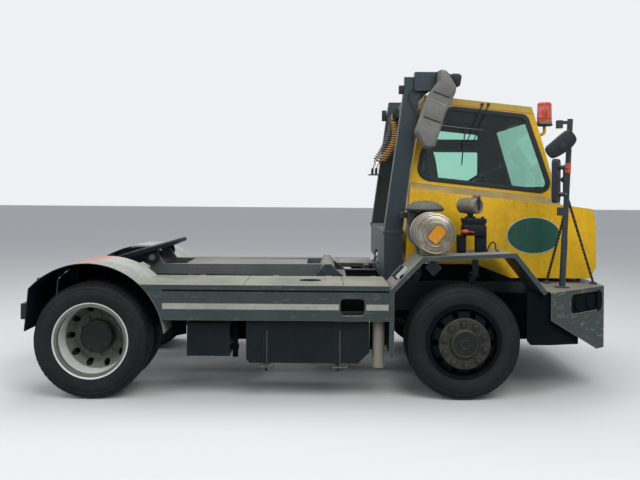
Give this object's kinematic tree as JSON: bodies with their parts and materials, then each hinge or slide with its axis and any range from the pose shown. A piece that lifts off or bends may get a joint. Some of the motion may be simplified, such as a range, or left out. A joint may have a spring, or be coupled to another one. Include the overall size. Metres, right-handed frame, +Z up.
{
  "type": "terminal tractor",
  "caption": "Terminal tractor for trailer yards with an offset yellow cab, side decks, twin rear wheels and a hydraulic boom that lifts its fifth wheel.",
  "frame": {"origin": "on the ground under the middle of the vehicle's box", "axes": "+X forward, +Y to the vehicle's left, +Z up"},
  "size_m": [4.99, 2.5, 2.742],
  "materials": {
    "chassis_paint": "worn dark grey paint under dust",
    "deck_plate": "grey tread plate covered in pale dust",
    "fender_steel": "grey paint with rust at the tail",
    "bumper_steel": "scuffed dark grey paint",
    "cab_paint": "warm yellow gloss paint with dirt streaks",
    "green_glass": "green-tinted safety glass",
    "tyre_rubber": "dark tread rubber with brown dust",
    "silver_rim": "silver rim paint with grime",
    "black_rim": "black rim paint with rusty dust",
    "black_paint": "black paint, greasy in places",
    "black_plastic": "matt black plastic",
    "grey_plastic": "sun-worn grey plastic",
    "stainless": "stainless sheet browned by heat",
    "bare_metal": "cast aluminium with dirt",
    "cast_metal": "cast metal under oil and dust",
    "chrome_rod": "hard chrome",
    "seat_cloth": "dark woven cloth",
    "amber_plastic": "clear amber plastic",
    "grey_hose": "dark grey coiled hose",
    "yellow_hose": "yellow coiled hose"
  },
  "bodies": {
    "chassis": {"chassis_frame": "chassis_paint", "side_deck_right": "deck_plate", "side_deck_left": "deck_plate", "rear_fender_right": "fender_steel", "rear_fender_left": "fender_steel", "front_fender_right": "deck_plate", "front_fender_left": "deck_plate", "front_bumper": "bumper_steel", "lamps": "black_plastic", "tower": "chassis_paint", "intake_hood": "grey_plastic", "muffler": "stainless", "air_cleaner": "black_plastic", "reservoir_unit": "bare_metal", "mirror_post": "black_paint", "right_mirrors": "black_plastic", "fuel_tank": "chassis_paint", "side_boxes": "chassis_paint", "drive_train": "cast_metal", "front_axle": "cast_metal", "rear_axle": "cast_metal", "hose_shelf": "chassis_paint", "grey_hose_coil": "grey_hose", "grey_hose_leads": "grey_hose", "yellow_hose_coil": "yellow_hose", "yellow_hose_leads": "yellow_hose"},
    "cab": {"cab_floor": "cab_paint", "cab_front": "cab_paint", "cab_glass": "green_glass", "cab_nose": "cab_paint", "cab_rear": "cab_paint", "cab_roof": "cab_paint", "cab_side_left": "cab_paint", "cab_side_right": "cab_paint", "seat": "seat_cloth", "dashboard": "black_plastic", "beacon": "amber_plastic"},
    "door": {"left_door": "cab_paint", "door_glass": "green_glass"},
    "steering_wheel": {"steering_wheel": "black_plastic"},
    "knuckle_right": {"knuckle_right": "cast_metal"},
    "knuckle_left": {"knuckle_left": "cast_metal"},
    "tie_rod": {"tie_rod": "cast_metal"},
    "front_wheel_right": {"front_rim_right": "black_rim", "front_tyre_right": "tyre_rubber"},
    "front_wheel_left": {"front_rim_left": "black_rim", "front_tyre_left": "tyre_rubber"},
    "rear_wheels_right": {"rear_rims_right": "silver_rim", "rear_tyres_right": "tyre_rubber"},
    "rear_wheels_left": {"rear_rims_left": "silver_rim", "rear_tyres_left": "tyre_rubber"},
    "boom": {"lift_boom": "chassis_paint"},
    "lift_barrels": {"lift_barrels": "black_paint"},
    "lift_rods": {"lift_rods": "chrome_rod"},
    "fifth_wheel": {"fifth_wheel": "black_paint"}
  },
  "joints": [
    {"name": "steer_right", "type": "hinge", "parent": "chassis", "child": "knuckle_right", "pos_m": [1.205, -0.86, 0.467], "axis": [0, 0, 1], "range_deg": [-35, 35]},
    {"name": "steer_left", "type": "hinge", "parent": "chassis", "child": "knuckle_left", "pos_m": [1.205, 0.86, 0.467], "axis": [0, 0, 1], "range_deg": [-35, 35]},
    {"name": "tie_rod_swing", "type": "hinge", "parent": "knuckle_right", "child": "tie_rod", "pos_m": [1.005, -0.86, 0.35], "axis": [0, 0, 1], "range_deg": [-35, 35]},
    {"name": "steering_wheel_turn", "type": "hinge", "parent": "cab", "child": "steering_wheel", "pos_m": [1.69, 0.42, 1.85], "axis": [-0.5145, 0, 0.8575], "range_deg": [-630, 630]},
    {"name": "front_right_spin", "type": "hinge", "parent": "knuckle_right", "child": "front_wheel_right", "pos_m": [1.205, -1.045, 0.467], "axis": [0, 1, 0], "continuous": true},
    {"name": "front_left_spin", "type": "hinge", "parent": "knuckle_left", "child": "front_wheel_left", "pos_m": [1.205, 1.045, 0.467], "axis": [0, 1, 0], "continuous": true},
    {"name": "rear_right_spin", "type": "hinge", "parent": "chassis", "child": "rear_wheels_right", "pos_m": [-1.795, -0.92, 0.467], "axis": [0, 1, 0], "continuous": true},
    {"name": "rear_left_spin", "type": "hinge", "parent": "chassis", "child": "rear_wheels_left", "pos_m": [-1.795, 0.92, 0.467], "axis": [0, 1, 0], "continuous": true},
    {"name": "boom_lift", "type": "hinge", "parent": "chassis", "child": "boom", "pos_m": [0.113, 0, 0.948], "axis": [0, 1, 0], "range_deg": [0, 14]},
    {"name": "lift_swing", "type": "hinge", "parent": "chassis", "child": "lift_barrels", "pos_m": [-0.62, 0, 0.555], "axis": [0, 1, 0], "range_deg": [0, 6.05]},
    {"name": "lift_stroke", "type": "slide", "parent": "lift_barrels", "child": "lift_rods", "axis": [-0.2169, 0, 0.9762], "range_m": [0, 0.193]},
    {"name": "fifth_wheel_tilt", "type": "hinge", "parent": "boom", "child": "fifth_wheel", "pos_m": [-1.49, 0, 1.066], "axis": [0, 1, 0], "range_deg": [0, 27]},
    {"name": "door_swing", "type": "hinge", "parent": "cab", "child": "door", "pos_m": [1.856, 1.184, 1.435], "axis": [0, 0, -1], "range_deg": [0, 75]},
    {"name": "cab_tilt", "type": "hinge", "parent": "chassis", "child": "cab", "pos_m": [2.4, 0, 0.908], "axis": [0, 1, 0], "range_deg": [0, 45]}
  ],
  "couplings": [
    {"joint": "steer_left", "follows": "steer_right", "ratio": 1},
    {"joint": "tie_rod_swing", "follows": "steer_right", "ratio": -1},
    {"joint": "steering_wheel_turn", "follows": "steer_right", "ratio": 18},
    {"joint": "lift_swing", "follows": "boom_lift", "ratio": 0.42848},
    {"joint": "lift_stroke", "follows": "boom_lift", "m_per_rad": 0.78791}
  ]
}
